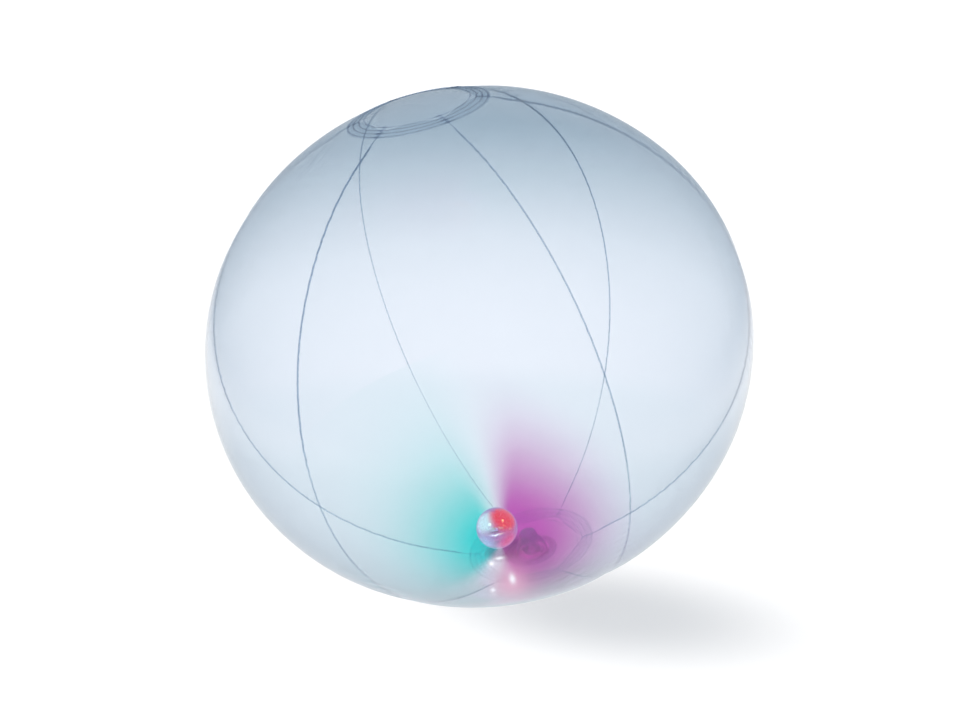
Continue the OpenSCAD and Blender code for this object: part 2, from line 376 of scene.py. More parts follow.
@dataclass(frozen=True)
class BoardFinish:
    """A circuit board: a coated face with copper tracks that show through as lighter lines."""

    name: str = "circuit_board"
    coating: Colour = (0.012, 0.16, 0.055)
    tracks: Colour = (0.05, 0.34, 0.13)
    pitch: float = 0.0018

    def build(self) -> bpy.types.Material:
        """The material's nodes: rows of tracks that jog sideways from cell to cell."""
        paint = Paint(self.name)
        jog = paint.noise(260.0, 0.0)
        along = (paint.axis("X") + (jog.step(0.45, 0.55) * self.pitch)) / self.pitch
        saw = paint.node("ShaderNodeMath", {"operation": "PINGPONG"}, along, 0.5)
        track = saw.step(0.30, 0.36)
        return paint.done(
            paint.principled(
                Base_Color=paint.blend(track, self.coating, self.tracks),
                Roughness=paint.noise(700.0) * 0.2 + 0.25,
                Coat_Weight=0.4,
                Normal=paint.bump(track, 0.00004, 0.6),
            )
        )


@dataclass(frozen=True)
class LampFinish:
    """A tinted lens that glows from a hot die near its foot."""

    name: str
    glow: Colour
    hot: Colour
    centre: tuple[float, float, float]
    strength: float
    die: float = 0.7 * MM
    reach: float = 3.4 * MM

    def build(self) -> bpy.types.Material:
        """The material's nodes: the emission runs from hot at the die to the tint at the rim."""
        paint = Paint(self.name)
        heat = 1.0 - paint.distance(self.centre).step(self.die, self.reach)
        return paint.done(
            paint.principled(
                Base_Color=self.glow,
                Roughness=paint.noise(900.0) * 0.1 + 0.05,
                Emission_Color=paint.blend(heat, self.glow, self.hot),
                Emission_Strength=self.strength,
            )
        )


@dataclass(frozen=True)
class CapsulePaintedGlowFinish:
    """A clear moulding with painted glow: each light's colour is painted on it by its own reach.

    A light's painted glow falls smoothly from full at its inner distance to none at its outer one,
    and uneven patches break it up. A faint violet glow is painted all over it, and the rim, seen
    at a slant, has a pale painted sheen of its own.
    """

    name: str
    lights: tuple[tuple[tuple[float, float, float], Colour, float, float], ...]
    veil: float = 0.88
    rim: Colour = (0.62, 0.56, 0.78)
    stray: Colour = (0.42, 0.20, 0.50)
    stray_share: float = 0.42
    tint: Colour = (0.97, 0.97, 0.98)
    roughness: float = 0.02

    def build(self) -> bpy.types.Material:
        """The material's nodes."""
        paint = Paint(self.name)
        # Painted glow: each light's colour painted by distance, over a faint violet glow painted
        # all over.
        colour: object = self.stray
        total: Union[Signal, float] = self.stray_share
        for place, glow, near, far in self.lights:
            share = paint.distance(place).step(far, near)
            colour = paint.blend(share, colour, glow)
            total = share + total
        # Painted sheen: a pale glow painted on the rim where it is seen at a slant.
        facing = paint.facing()
        edge = (facing**3) * 0.85
        cloud = paint.noise(420.0, 2.0).step(0.36, 0.62) * 0.65 + 0.45
        veil = paint.principled(
            Base_Color=(0.04, 0.04, 0.05),
            Roughness=paint.noise(500.0) * 0.1 + 0.15,
            Emission_Color=paint.blend(edge, colour, self.rim),
            Emission_Strength=1.0,
        )
        cover = (total * cloud * self.veil + edge * 0.6).clamp()
        body = paint.mix(cover, paint.clear(self.tint), veil)
        return paint.done(paint.mix(paint.edge_gloss(0.05), body, paint.gloss(self.roughness)))


# The crown tints of both films are painted shade: darker towards the top.
FILM = ClearFinish(
    "clear_film", tint=(0.945, 0.960, 0.981), haze=0.006, haze_noise=0.008,
    crown_painted_shade=(0.60, 0.685, 0.74), weld_tint=(0.54, 0.62, 0.72), slant_tint=(0.88, 0.905, 0.93),
)
CAP_FILM = ClearFinish(
    "cap_film", tint=(0.985, 0.99, 0.995), haze=0.006, haze_noise=0.008,
    crown_painted_shade=(0.60, 0.685, 0.74), weld_tint=(0.34, 0.42, 0.56),
    slant_tint=(0.88, 0.905, 0.93), low_fade=0.75,
)
VINYL = ClearFinish(
    "clear_vinyl", tint=(0.975, 0.96, 0.98), haze=0.004, haze_noise=0.006, roughness=0.05,
    slant_tint=(0.87, 0.84, 0.91),
)
CARRIER = SolidFinish("white_moulding", (0.80, 0.82, 0.84), (0.70, 0.73, 0.77), 0.45)
BOARD = BoardFinish()
RESIN = SolidFinish("potting_resin", (0.010, 0.010, 0.012), (0.018, 0.017, 0.020), 0.22, coat=0.3)
CERAMIC = SolidFinish("chip_ceramic", (0.020, 0.020, 0.023), (0.035, 0.033, 0.036), 0.5)
TINNED = SolidFinish("tinned_metal", (0.72, 0.72, 0.74), (0.60, 0.60, 0.63), 0.32, 1.0)
BRASS = SolidFinish("plated_brass", (0.80, 0.72, 0.50), (0.70, 0.62, 0.42), 0.30, 1.0)
STEEL = SolidFinish("spring_steel", (0.62, 0.63, 0.65), (0.52, 0.53, 0.56), 0.30, 1.0)
CAN = SolidFinish(
    "nickel_can", (0.68, 0.68, 0.69), (0.60, 0.60, 0.62), 0.26, 1.0, stretch=(6, 1, 1)
)
GASKET = SolidFinish("nylon_ring", (0.03, 0.08, 0.05), (0.05, 0.11, 0.07), 0.5)


# ------------------------------------------------------------------------------ mesh tools


def grid_quads(rows: int, columns: int, around: bool = False) -> np.ndarray:
    """The faces of a grid of points, numbered row by row.

    Args:
        rows: How many rows of points.
        columns: How many points in a row.
        around: Whether each row closes on itself.

    Returns:
        One row of four point numbers for each face.
    """
    last = columns if around else columns - 1
    row, column = np.meshgrid(np.arange(rows - 1), np.arange(last), indexing="ij")
    following = (column + 1) % columns
    corners = (
        row * columns + column,
        row * columns + following,
        (row + 1) * columns + following,
        (row + 1) * columns + column,
    )
    return np.stack([c.ravel() for c in corners], axis=1)


def strip_quads(first: np.ndarray, second: np.ndarray) -> np.ndarray:
    """The faces that join two runs of points, side by side."""
    return np.stack([first[:-1], first[1:], second[1:], second[:-1]], axis=1)


def around_axis(rho: np.ndarray, angle: np.ndarray, z: np.ndarray) -> np.ndarray:
    """Points at distances from the upright axis, angles about it and heights."""
    return np.stack(
        np.broadcast_arrays(rho * np.cos(angle), rho * np.sin(angle), z), axis=-1
    )


def signed_power(values: np.ndarray, power: float) -> np.ndarray:
    """Each value's size raised to a power, with its own sign: it squares off a circle."""
    return np.sign(values) * np.abs(values) ** power


def link_new(name: str, data: Optional[bpy.types.ID]) -> bpy.types.Object:
    """Puts data into the scene as a new object."""
    made = bpy.data.objects.new(name, data)
    bpy.context.scene.collection.objects.link(made)
    return made


def add_attributes(mesh: bpy.types.Mesh, attributes: dict[str, np.ndarray]) -> None:
    """Gives a mesh values at its points, by name."""
    for key, values in attributes.items():
        layer = mesh.attributes.new(key, "FLOAT", "POINT")
        layer.data.foreach_set("value", values.astype(np.float32).ravel())


def volume_of(points: np.ndarray, quads: np.ndarray) -> float:
    """Six times the signed volume inside closed faces: the sum of each corner triple's product."""
    a, b, c, d = (points[quads[:, k]] for k in range(4))
    first = np.einsum("ij,ij->i", a, np.cross(b, c)).sum()
    return float(first + np.einsum("ij,ij->i", a, np.cross(c, d)).sum())


def make_piece(
    name: str,
    points: np.ndarray,
    quads: np.ndarray,
    material: bpy.types.Material,
    attributes: Optional[dict[str, np.ndarray]] = None,
    smooth_angle: float = 40.0,
) -> bpy.types.Object:
    """Makes one closed mesh, with its faces outwards.

    Args:
        name: The piece's name.
        points: Its points, one to a row.
        quads: Its faces, four point numbers to a row; a face may repeat a point to be a triangle.
        material: Its finish.
        attributes: Values at the points, by name.
        smooth_angle: Edges sharper than this many degrees stay sharp.

    Returns:
        The new object.
    """
    if volume_of(points, quads) < 0:
        quads = quads[:, ::-1]
    faces = [list(dict.fromkeys(face)) for face in quads.tolist()]
    mesh = bpy.data.meshes.new(name)
    mesh.from_pydata(points.tolist(), [], [face for face in faces if len(face) > 2])
    add_attributes(mesh, attributes or {})
    mesh.update()
    mesh.shade_smooth()
    mesh.set_sharp_from_angle(angle=math.radians(smooth_angle))
    mesh.materials.append(material)
    return link_new(name, mesh)


def shell_from_grids(
    outer: np.ndarray, inner: np.ndarray, around: bool = False
) -> tuple[np.ndarray, np.ndarray]:
    """Joins two grids of points into one closed shell.

    Args:
        outer: Points of one face, as rows by columns by three.
        inner: Points of the other face, in the same order.
        around: Whether each row closes on itself.

    Returns:
        The shell's points and its faces.
    """
    rows, columns = outer.shape[:2]
    count = rows * columns
    points = np.concatenate([outer.reshape(-1, 3), inner.reshape(-1, 3)])
    numbers = np.arange(count).reshape(rows, columns)
    faces = grid_quads(rows, columns, around)
    rims = []
    for row, turn in ((0, 1), (-1, -1)):
        edge = numbers[row][::turn]
        edge = np.append(edge, edge[0]) if around else edge
        rims.append(strip_quads(edge, edge + count)[:, ::-1])
    if not around:
        for column, turn in ((0, -1), (-1, 1)):
            edge = numbers[:, column][::turn]
            rims.append(strip_quads(edge, edge + count)[:, ::-1])
    return points, np.concatenate([faces, faces[:, ::-1] + count, *rims])


def close_poles(points: np.ndarray, quads: np.ndarray, sides: int) -> tuple[np.ndarray, np.ndarray]:
    """Draws the first ring of both faces of a round shell into one point each.

    Args:
        points: The shell's points, one face after the other.
        quads: Its faces.
        sides: How many points stand in a ring.

    Returns:
        The points, and the faces without the rim between the two first rings.
    """
    numbers = np.arange(len(points))
    half = len(points) // 2
    for first in (0, half):
        numbers[first : first + sides] = first
    drawn = numbers[quads]
    rim = np.isin(drawn, (0, half)).all(axis=1)
    return drop_unused(points, drawn[~rim])


def drop_unused(points: np.ndarray, quads: np.ndarray) -> tuple[np.ndarray, np.ndarray]:
    """The points that faces use, and the faces renumbered to them."""
    used, numbered = np.unique(quads, return_inverse=True)
    return points[used], numbered.reshape(-1, 4)


def capped_tube(rings: np.ndarray) -> tuple[np.ndarray, np.ndarray]:
    """Joins rings of points into a tube, and closes each end with a fan about its middle."""
    rows, sides = rings.shape[:2]
    ends = np.stack([rings[0].mean(axis=0), rings[-1].mean(axis=0)])
    points = np.concatenate([rings.reshape(-1, 3), ends])
    first = np.arange(sides)
    last = first + (rows - 1) * sides
    hub = np.full(sides, rows * sides)
    caps = [
        np.stack([np.roll(first, -1), first, hub, hub], axis=1),
        np.stack([last, np.roll(last, -1), hub + 1, hub + 1], axis=1),
    ]
    return points, np.concatenate([grid_quads(rows, sides, around=True), *caps])


def smooth_rise(values: np.ndarray, low: float, high: float) -> np.ndarray:
    """A smooth rise from 0 at low to 1 at high: t squared times three less twice t."""
    t = np.clip((values - low) / (high - low), 0.0, 1.0)
    return t * t * (3.0 - 2.0 * t)


def bell(values: np.ndarray, width: float) -> np.ndarray:
    """A bell curve: e to the minus square of the value over its width."""
    return np.exp(-((values / width) ** 2))


def rounded_profile(corners: Sequence[tuple[float, float, float]], steps: int = 5) -> np.ndarray:
    """A closed outline with each corner rounded.

    Each corner is replaced by a quadratic curve that starts and ends the given distance along
    its two sides and has the corner as its middle control point.

    Args:
        corners: Each corner's distance from the axis, its height and its rounding.
        steps: Points on each rounded corner.

    Returns:
        The outline's points, two numbers to a row.
    """
    spots = np.array([c[:2] for c in corners])
    t = np.linspace(0.0, 1.0, steps)[:, None]
    rows = []
    for k, (_, _, rounding) in enumerate(corners):
        here, before, after = spots[k], spots[k - 1], spots[(k + 1) % len(spots)]
        if rounding == 0:
            rows.append(here[None])
            continue
        start = here + (before - here) / np.linalg.norm(before - here) * rounding
        end = here + (after - here) / np.linalg.norm(after - here) * rounding
        rows.append((1 - t) ** 2 * start + 2 * t * (1 - t) * here + t**2 * end)
    return np.concatenate(rows)


def turned(
    outline: np.ndarray, centre: Sequence[float] = (0, 0, 0), sides: int = 96
) -> tuple[np.ndarray, np.ndarray]:
    """A closed outline turned about an upright axis.

    Args:
        outline: Distances from the axis and heights, two numbers to a row.
        centre: A point on the axis.
        sides: How many copies of the outline stand around the axis.

    Returns:
        The points and the faces.
    """
    angle = np.linspace(0.0, TAU, sides, endpoint=False)
    rho, z = outline[:, 0][:, None], outline[:, 1][:, None]
    grid = around_axis(rho, angle, z)
    grid = np.concatenate([grid, grid[:1]])
    rows = len(outline)
    quads = grid_quads(rows + 1, sides, around=True)
    quads = np.where(quads >= rows * sides, quads - rows * sides, quads)
    on_axis = np.repeat(outline[:, 0] < 1e-9, sides)
    first = np.repeat(np.arange(rows) * sides, sides)
    merge = np.where(on_axis, first, np.arange(rows * sides))
    quads = merge[quads]
    used, quads = np.unique(quads, return_inverse=True)
    points = grid[:rows].reshape(-1, 3)[used] + np.asarray(centre, float)
    return points, quads.reshape(-1, 4)


# ---------------------------------------------------------------------------- the film ball


@dataclass
class BallProfile:
    """The ball's side profile: an arc at the equator, tangent to an arc over each pole."""

    half_width: float = 150.0 * MM
    half_height: float = 140.5 * MM
    film: float = 0.25 * MM
    flat_radius: float = 16.0 * MM
    centre_z: float = field(init=False)
    side_radius: float = field(init=False)
    side_centre: float = field(init=False)
    crown_radius: float = field(init=False)
    crown_drop: float = field(init=False)
    join: float = field(init=False)

    def __post_init__(self) -> None:
        """Works out the two arcs and how high the ball's centre stands."""
        height = self.half_height
        self.side_radius = height**2 / self.half_width
        self.side_centre = self.half_width - self.side_radius
        self.crown_radius = (self.side_centre**2 + height**2 - self.side_radius**2) / (
            2.0 * (height - self.side_radius)
        )
        self.crown_drop = self.crown_radius - height
        self.join = math.atan2(self.crown_drop, self.side_centre)
        flange_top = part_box("valve_flange")[1][2]
        self.centre_z = flange_top + float(self.crown_height(self.flat_radius, self.film))

    def crown_height(self, rho: np.ndarray, lift: float = 0.0) -> np.ndarray:
        """The height of the polar arc over the centre, at a distance from the axis."""
        return np.sqrt((self.crown_radius + lift) ** 2 - np.square(rho)) - self.crown_drop

    def slope_at(self, rho: np.ndarray) -> np.ndarray:
        """How far the normal of a polar arc stands above level, at a distance from the axis."""
        return np.arccos(np.clip(rho / self.crown_radius, -1.0, 1.0))

    def radius_at(self, slope: np.ndarray, lift: Union[np.ndarray, float] = 0.0) -> np.ndarray:
        """The distance from the axis where the normal has this slope."""
        side = self.side_centre + (self.side_radius + lift) * np.cos(slope)
        crown = (self.crown_radius + lift) * np.cos(slope)
        return np.where(np.abs(slope) <= self.join, side, crown)

    def place(
        self, azimuth: np.ndarray, slope: np.ndarray, lift: Union[np.ndarray, float]
    ) -> np.ndarray:
        """Points at an azimuth and a normal's slope, lifted along the normal."""
        side = np.abs(slope) <= self.join
        rho = self.radius_at(slope, lift)
        z = np.where(
            side,
            (self.side_radius + lift) * np.sin(slope),
            (self.crown_radius + lift) * np.sin(slope) - np.sign(slope) * self.crown_drop,
        )
        return around_axis(rho, azimuth, z + self.centre_z)


@dataclass
class FilmBall:
    """Six film gores welded edge to edge, with a round cap welded over their ends at each pole."""

    profile: BallProfile
    gores: int = 6
    phase: float = math.radians(51.0)
    end_flat: float = 27.0 * MM
    fin: float = 1.2 * MM
    fold: float = 0.30 * MM
    fin_start: float = 42.0 * MM
    seam_gap: float = 0.02 * MM
    valley: float = 0.55 * MM
    valley_width: float = 7.0 * MM
    ripple: float = 0.16 * MM
    ripple_length: float = 8.5 * MM
    ripple_width: float = 9.0 * MM
    across: int = 57
    along: int = 361
    cap_radius: float = 38.0 * MM
    hole_radius: float = 10.5 * MM
    cap_gap: float = 0.03 * MM
    weld_radii: tuple[float, ...] = (28.0 * MM, 31.0 * MM, 34.0 * MM, 37.0 * MM)
    weld_height: float = 0.2 * MM
    weld_width: float = 0.38 * MM
    pucker: float = 0.22 * MM
    cap_inner_rings: int = 26
    cap_ring_pitch: float = 0.14 * MM
    cap_sides: int = 240

    def seam_wave(self, seam: np.ndarray, slope: np.ndarray) -> np.ndarray:
        """Uneven waves along a seam: a sine of its length.

        Two slower sines change its strength and its pace.
        """
        length = slope * self.profile.half_width / self.ripple_length * TAU
        start = seam * 1.9
        pace = length + 1.8 * np.sin(length * 0.137 + start)
        strength = 0.55 + 0.45 * np.sin(length * 0.071 + 2.3 * start)
        return np.sin(pace + start) * strength

    def relief(self, azimuth: np.ndarray, slope: np.ndarray) -> np.ndarray:
        """How far the film stands off the smooth ball: it dips and ripples towards each seam."""
        pitch = TAU / self.gores
        turns = (azimuth - self.phase) / pitch
        seam = np.round(turns)
        rho = self.profile.radius_at(slope)
        away = np.abs(turns - seam) * pitch * rho
        open_film = smooth_rise(rho, self.cap_radius, self.cap_radius + 14.0 * MM)
        dip = -self.valley * np.exp(-away / self.valley_width)
        near = bell(away, self.ripple_width)
        waves = self.ripple * self.seam_wave(seam % self.gores, slope) * near
        return (dip + waves - self.ripple * near) * open_film

    def gore_columns(self) -> tuple[np.ndarray, np.ndarray, np.ndarray]:
        """The columns of a gore's grid, from one weld fin over the film to the other.

        Returns:
            For each column, the share of the way from mid-gore to a seam, the angle that the
            film has turned inwards by, and the share of the fin's depth.
        """
        s = np.linspace(-1.0, 1.0, self.across)
        turn = np.linspace(0.0, math.pi / 2, 6)[1:]
        fin = np.linspace(0.0, 1.0, 5)[1:]
        side = np.ones(len(turn) + len(fin))
        bend = np.concatenate([turn, np.full(len(fin), math.pi / 2)])
        depth = np.concatenate([np.zeros(len(turn)), fin])
        share = np.concatenate([-side, 1.5 * s - 0.5 * s**3, side])
        bends = np.concatenate([bend[::-1], np.zeros(len(s)), bend])
        depths = np.concatenate([depth[::-1], np.zeros(len(s)), depth])
        return share, bends, depths

    def gore(self, index: int, material: bpy.types.Material) -> bpy.types.Object:
        """One gore: a film sheet that turns inwards along both seams as a thin weld fin.

        The middle of the sheet follows the ball. Near a seam it turns through a quarter circle
        and runs straight in. The two faces stand half a film's thickness either side of it, along
        a normal that turns with the bend from straight out to straight across the seam.
        """
        profile, half = self.profile, self.profile.film / 2
        share, bends, depths = self.gore_columns()
        pitch = TAU / self.gores
        end = self.end_flat / np.cos(share * pitch / 2)
        v = np.linspace(-1.0, 1.0, self.along)
        slope = v[:, None] * profile.slope_at(end)[None, :]
        rho = profile.radius_at(slope)
        open_film = smooth_rise(rho, self.fin_start - 3.0 * MM, self.fin_start + 4.0 * MM)
        seam = (index + np.where(share > 0, 1, 0))[None, :] % self.gores
        ragged = 0.72 + 0.20 * self.seam_wave(seam + 2.5, slope * 2.3)
        ragged = ragged + 0.08 * np.sin(slope * 431.0 + 3.0 * np.sin(slope * 97.0 + seam))
        inset = half + self.seam_gap + self.fold * (1.0 - np.sin(bends))
        edge = pitch / 2 - inset / rho
        azimuth = self.phase + pitch * (index + 0.5) + share * edge
        fin = (self.fin - self.fold) * (0.06 + 0.94 * ragged * open_film) * depths
        sink = self.fold * (1.0 - np.cos(bends)) + fin
        middle = profile.place(azimuth, slope, self.relief(azimuth, slope) - half - sink)
        outward = around_axis(np.cos(slope), azimuth, np.sin(slope))
        plane = self.phase + pitch * (index + np.where(share > 0, 1, 0))
        sideways = np.stack([-np.sin(plane), np.cos(plane), 0 * plane], axis=-1)
        sideways *= (np.sign(share) * np.sin(bends))[:, None]
        normal = outward * np.cos(bends)[:, None] + sideways
        points, quads = shell_from_grids(middle + normal * half, middle - normal * half)
        weld = smooth_rise(bends, 0.3, 1.3) * (1.0 - 0.72 * np.minimum(depths * 3, 1)) + 0 * slope
        welds = {"weld": np.concatenate([weld, weld])}
        made = make_piece(f"film_gore_{index + 1}", points, quads, material, welds)
        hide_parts(f"gore_{index + 1}")
        return made

    def cap_relief(self, rho: np.ndarray, azimuth: np.ndarray) -> tuple[np.ndarray, np.ndarray]:
        """The cap's embossed weld rings, and its creases where the seams pass under them.

        Returns:
            The height off the smooth cap, and how strongly each point is welded, from 0 to 1.
        """
        height, weld = np.zeros_like(rho), np.zeros_like(rho)
        pitch = TAU / self.gores
        turns = (azimuth - self.phase) / pitch
        away = (turns - np.round(turns)) * pitch * rho
        for k, radius in enumerate(self.weld_radii):
            wander = 0.14 * MM * np.sin(azimuth * 5 + k * 1.7)
            wander = wander + 0.08 * MM * np.sin(azimuth * 17 + k)
            line = bell(rho - radius - wander, self.weld_width)
            groove = bell(rho - radius - wander + 1.1 * MM, self.weld_width * 1.3)
            height += self.weld_height * (line - 0.35 * groove)
            weld = np.maximum(weld, line)
        creased = smooth_rise(rho, 26.0 * MM, 28.5 * MM) * bell(away, 2.4 * MM)
        height += self.pucker * creased * np.sin(rho / (1.5 * MM) * TAU + 0.8 * np.sin(away / MM))
        weld = weld * (0.45 + 0.55 * creased) + 0.25 * creased * bell(away, 0.9 * MM)
        return np.clip(height, -0.1 * MM, None), np.clip(weld, 0.0, 1.0)

    def cap(self, top: bool, material: bpy.types.Material) -> bpy.types.Object:
        """One end cap: a film disc that follows the pole, flat where the valve is welded to it."""
        profile = self.profile
        start = 0.0 if top else self.hole_radius
        band = self.end_flat - 1.5 * MM
        rho = np.concatenate([
            np.linspace(start, band, self.cap_inner_rings)[:-1],
            np.arange(band, self.cap_radius, self.cap_ring_pitch), [self.cap_radius],
        ])[:, None]
        angle = np.linspace(0.0, TAU, self.cap_sides, endpoint=False)[None, :]
        rho, angle = np.broadcast_arrays(rho, angle)
        height, weld = self.cap_relief(rho, angle)
        bent = rho if top else np.maximum(rho, profile.flat_radius)
        faces = []
        for lift in (profile.film, self.cap_gap):
            level = profile.crown_height(bent, lift) + height
            z = profile.centre_z + (level if top else -level)
            faces.append(around_axis(rho, angle, z))
        points, quads = shell_from_grids(faces[0], faces[1], around=True)
        flat = self.end_flat / np.cos((angle - self.phase + TAU) % (TAU / self.gores) - math.pi / 6)
        lap = smooth_rise(rho, flat - 0.3 * MM, flat + 0.3 * MM)
        marks = np.stack([np.tile(weld.ravel(), 2), np.tile(lap.ravel(), 2)], axis=1)
        if top:
            points, quads = close_poles(np.c_[points, marks], quads, self.cap_sides)
            points, marks = points[:, :3], points[:, 3:]
        name = "top_cap" if top else "bottom_cap"
        attributes = {"weld": marks[:, 0], "lap": marks[:, 1]}
        made = make_piece(f"welded_{name}", points, quads, material, attributes)
        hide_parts(name)
        return made

    def build(self) -> None:
        """Makes the gores and the caps, on the ball's body."""
        film, cap_film = FILM.build(), CAP_FILM.build()
        made = [self.gore(index, film) for index in range(self.gores)]
        made += [self.cap(top, cap_film) for top in (True, False)]
        for piece in made:
            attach(piece, Body.BALL.value)
            piece.visible_shadow = False


@dataclass
class Valve:
    """The inflation valve: flange, folding diaphragm, stem, check flap, and a plug on its strap."""

    flange_inner: float = 9.0 * MM
    flange_outer: float = 15.0 * MM
    flange_height: float = 1.0 * MM
    diaphragm: float = 0.6 * MM
    diaphragm_top: float = 12.8 * MM
    stem: float = 4.5 * MM
    bore: float = 3.0 * MM
    mouth: float = 1.6 * MM
    stem_top: float = 14.0 * MM
    clearance: float = 0.05 * MM
    flap: float = 4.2 * MM
    flap_height: float = 0.3 * MM
    flap_cut: float = 3.7 * MM
    plug: float = 4.7 * MM
    plug_foot: float = 0.15 * MM
    shank_top: float = 6.5 * MM
    trim_azimuth: float = math.radians(327.0)
    strap_width: float = 2.6 * MM
    strap_height: float = 0.8 * MM
    strap_low: float = 0.8 * MM
    strap_high: float = 3.4 * MM
    strap_reach: float = 6.4 * MM

    def flange_ring(self, vinyl: bpy.types.Material) -> None:
        """The moulded ring that the bottom cap is welded to, with two tool grooves in its face."""
        inner, outer, top = self.flange_inner, self.flange_outer, self.flange_height
        groove = 0.12 * MM
        outline = rounded_profile([
            (inner, 0.0, 0.2 * MM), (inner, top, 0.15 * MM), (outer, top, 0.1 * MM),
            (outer, 0.3 * MM, 0.1 * MM), (outer - 0.4 * MM, 0.0, 0.15 * MM),
            (inner + 4.2 * MM, 0.0, 0.1 * MM), (inner + 4.0 * MM, groove, 0.05 * MM),
            (inner + 3.6 * MM, groove, 0.05 * MM), (inner + 3.4 * MM, 0.0, 0.1 * MM),
            (inner + 1.6 * MM, 0.0, 0.1 * MM), (inner + 1.4 * MM, groove, 0.05 * MM),
            (inner + 1.0 * MM, groove, 0.05 * MM), (inner + 0.8 * MM, 0.0, 0.1 * MM),
        ])
        made = make_piece("flange_ring", *turned(outline, sides=144), vinyl)
        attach(made, Body.BALL.value)
        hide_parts("valve_flange")

    def diaphragm_cone(self, vinyl: bpy.types.Material) -> None:
        """The thin cone between flange and stem, drawn in along its side as a shallow S.

        The middle of its wall runs from ring to stem; it stands off the straight line by a
        sine of the share of the way, and half the wall's thickness lies to either side.
        """
        t = np.linspace(0.0, 1.0, 33)
        start = np.array([self.flange_inner + self.diaphragm / 2, self.flange_height + 0.02 * MM])
        end = np.array([self.stem + self.clearance + self.diaphragm / 2, self.diaphragm_top])
        line = start + (end - start) * t[:, None]
        across = np.array([end[1] - start[1], start[0] - end[0]])
        across /= np.linalg.norm(across)
        line += across * (0.28 * MM * np.sin(t * TAU))[:, None]
        wall = self.diaphragm / 2 * (1.0 - 0.35 * np.sin(t * math.pi))[:, None]
        outline = np.concatenate([line + across * wall, (line - across * wall)[::-1]])
        made = make_piece("diaphragm_cone", *turned(outline, sides=120), vinyl)
        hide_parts("valve_diaphragm")
        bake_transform(made)

    def stem_tube(self, vinyl: bpy.types.Material) -> None:
        """The stem: a tube with a rolled rim at its mouth and a rounded seat at its inner end."""
        rim, mouth, top = self.stem + 0.9 * MM, self.mouth, self.stem_top
        outline = rounded_profile([
            (self.bore, mouth, 0.3 * MM), (self.bore, top, 0.25 * MM), (self.stem, top, 0.25 * MM),
            (self.stem, mouth + 1.0 * MM, 0.3 * MM), (rim, mouth + 1.0 * MM, 0.25 * MM),
            (rim, mouth, 0.25 * MM),
        ])
        made = make_piece("stem_tube", *turned(outline, sides=96), vinyl)
        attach(made, Body.STEM.value)
        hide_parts("valve_stem")

    def check_flap(self, vinyl: bpy.types.Material) -> None:
        """The flap over the inner end: a disc with a thinner rim, cut off straight at its hinge.

        Its rim is a circle whose reach towards the hinge stops at the cut.
        """
        angle = np.linspace(0.0, TAU, 96, endpoint=False)
        rim = np.stack([self.flap * np.cos(angle), self.flap * np.sin(angle)], axis=-1)
        rim[:, 0] = np.minimum(rim[:, 0], self.flap_cut)
        turn = np.array([
            [math.cos(self.trim_azimuth), math.sin(self.trim_azimuth)],
            [-math.sin(self.trim_azimuth), math.cos(self.trim_azimuth)],
        ])
        share = np.array([0.0, 0.55, 0.9, 1.0])[:, None, None]
        flat = (rim @ turn)[None] * share
        low = self.stem_top + self.clearance
        crown = np.array([1.0, 1.0, 0.95, 0.6])[:, None] * self.flap_height
        top, base = (
            np.concatenate([flat, np.broadcast_to(level, flat.shape[:2])[..., None]], axis=-1)
            for level in (low + crown, low)
        )
        points, quads = shell_from_grids(top, base, around=True)
        points, quads = close_poles(points, quads, len(angle))
        made = make_piece("check_flap", points, quads, vinyl)
        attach(made, Body.FLAP.value)
        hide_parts("valve_flap")

    def stopper(self, vinyl: bpy.types.Material) -> None:
        """The plug: a dished head, a shank with two sealing ribs, and a lift tab at one side."""
        foot, top, seal = self.plug_foot, self.mouth - self.clearance, self.bore - self.clearance
        body = seal - 0.18 * MM
        outline = rounded_profile([
            (0.0, foot + 0.3 * MM, 0.0), (self.plug - 1.3 * MM, foot + 0.3 * MM, 0.2 * MM),
            (self.plug - 1.0 * MM, foot, 0.15 * MM), (self.plug, foot, 0.35 * MM),
            (self.plug, top, 0.25 * MM), (body, top, 0.2 * MM),
            (body, top + 1.0 * MM, 0.1 * MM), (seal, top + 1.3 * MM, 0.1 * MM),
            (body, top + 1.6 * MM, 0.1 * MM), (body, top + 2.8 * MM, 0.1 * MM),
            (seal, top + 3.1 * MM, 0.1 * MM), (body, top + 3.4 * MM, 0.1 * MM),
            (body, self.shank_top, 0.4 * MM), (0.0, self.shank_top, 0.0),
        ])
        made = make_piece("stopper", *turned(outline, sides=96), vinyl)
        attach(made, Body.PLUG.value)
        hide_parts("valve_plug")
        tab = self.ribbon(
            np.array([[-self.plug + 1.2 * MM, 0.0], [-self.plug - 2.35 * MM, 0.0]]),
            1.5 * MM, 0.5 * MM, foot + 0.55 * MM, ridges=3,
        )
        made = make_piece("stopper_tab", *tab, vinyl)
        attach(made, Body.PLUG.value)

    def turned_to_trim(self, x: np.ndarray, y: np.ndarray, z: np.ndarray) -> np.ndarray:
        """Points along and across the strap's direction, turned to where the strap lies."""
        c, s = math.cos(self.trim_azimuth), math.sin(self.trim_azimuth)
        return np.stack([x * c - y * s, x * s + y * c, z], axis=-1)

